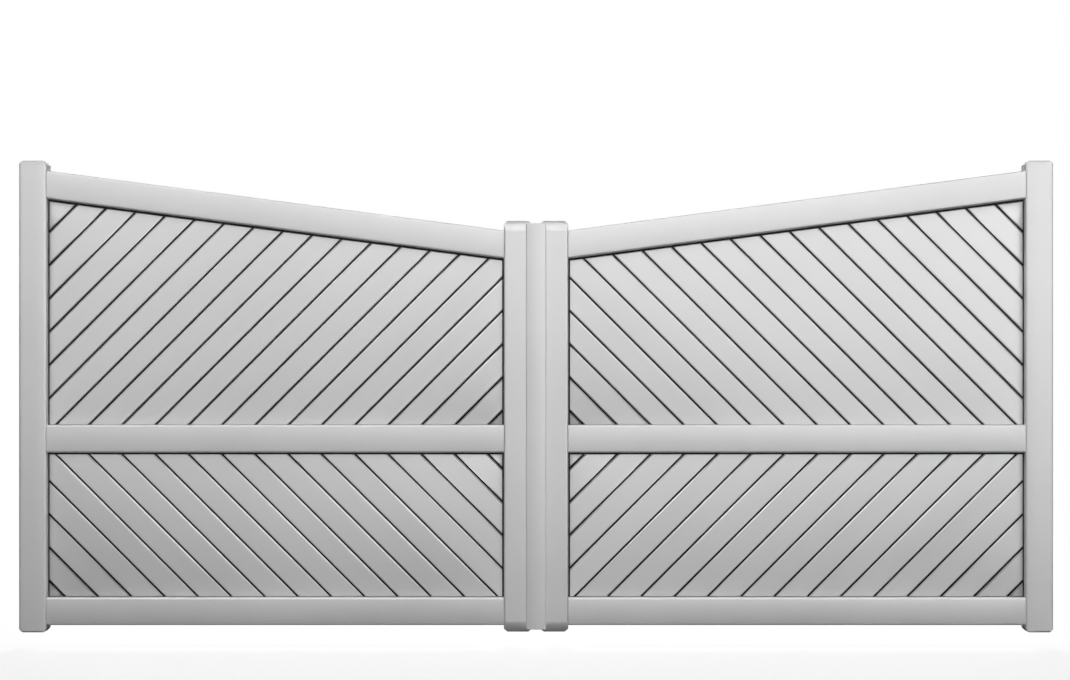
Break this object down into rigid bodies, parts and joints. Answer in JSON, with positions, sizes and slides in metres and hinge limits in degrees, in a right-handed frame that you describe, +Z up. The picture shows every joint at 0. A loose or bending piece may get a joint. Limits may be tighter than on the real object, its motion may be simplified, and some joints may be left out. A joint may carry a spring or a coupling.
{
  "type": "double-leaf aluminium swing gate",
  "caption": "Double-leaf aluminium driveway gate with sloping top rails, diagonal tongue-and-groove boards, a cover strip over the joint and rear pin hinges.",
  "frame": {"origin": "centre of the wall face of the left lower hinge bracket's plate", "axes": "+X across the opening from the left pillar to the right one, +Y inwards, the way both leaves open, +Z up"},
  "size_m": [3.54, 0.1469, 1.596],
  "materials": {
    "frame_paint": "light grey satin powder coat on aluminium extrusion",
    "board_paint": "light grey satin powder coat on hollow aluminium boards",
    "strip_paint": "light grey satin powder coat on aluminium extrusion",
    "end_cap": "moulded plastic cap in the gate's grey",
    "hinge_steel": "zinc-plated steel"
  },
  "bodies": {
    "hinge_brackets": {"left_upper_hinge_bracket": "hinge_steel", "left_lower_hinge_bracket": "hinge_steel", "right_upper_hinge_bracket": "hinge_steel", "right_lower_hinge_bracket": "hinge_steel"},
    "left_leaf": {"left_hinge_stile": "frame_paint", "left_meeting_stile": "frame_paint", "left_top_rail": "frame_paint", "left_mid_rail": "frame_paint", "left_bottom_rail": "frame_paint", "left_upper_boards": "board_paint", "left_lower_boards": "board_paint", "left_hinge_stile_top_cap": "end_cap", "left_hinge_stile_bottom_cap": "end_cap", "left_meeting_stile_top_cap": "end_cap", "left_meeting_stile_bottom_cap": "end_cap", "left_upper_hinge_strap": "hinge_steel", "left_lower_hinge_strap": "hinge_steel", "cover_strip": "strip_paint"},
    "right_leaf": {"right_hinge_stile": "frame_paint", "right_meeting_stile": "frame_paint", "right_top_rail": "frame_paint", "right_mid_rail": "frame_paint", "right_bottom_rail": "frame_paint", "right_upper_boards": "board_paint", "right_lower_boards": "board_paint", "right_hinge_stile_top_cap": "end_cap", "right_hinge_stile_bottom_cap": "end_cap", "right_meeting_stile_top_cap": "end_cap", "right_meeting_stile_bottom_cap": "end_cap", "right_upper_hinge_strap": "hinge_steel", "right_lower_hinge_strap": "hinge_steel"}
  },
  "joints": [
    {"name": "left_leaf_swing", "type": "hinge", "parent": "hinge_brackets", "child": "left_leaf", "pos_m": [0.034, -0.025, 0], "axis": [0, 0, 1], "range_deg": [0, 90]},
    {"name": "right_leaf_swing", "type": "hinge", "parent": "hinge_brackets", "child": "right_leaf", "pos_m": [3.506, -0.025, 0], "axis": [0, 0, -1], "range_deg": [0, 90]}
  ],
  "couplings": [
    {"joint": "left_leaf_swing", "follows": "right_leaf_swing", "ratio": 1}
  ]
}
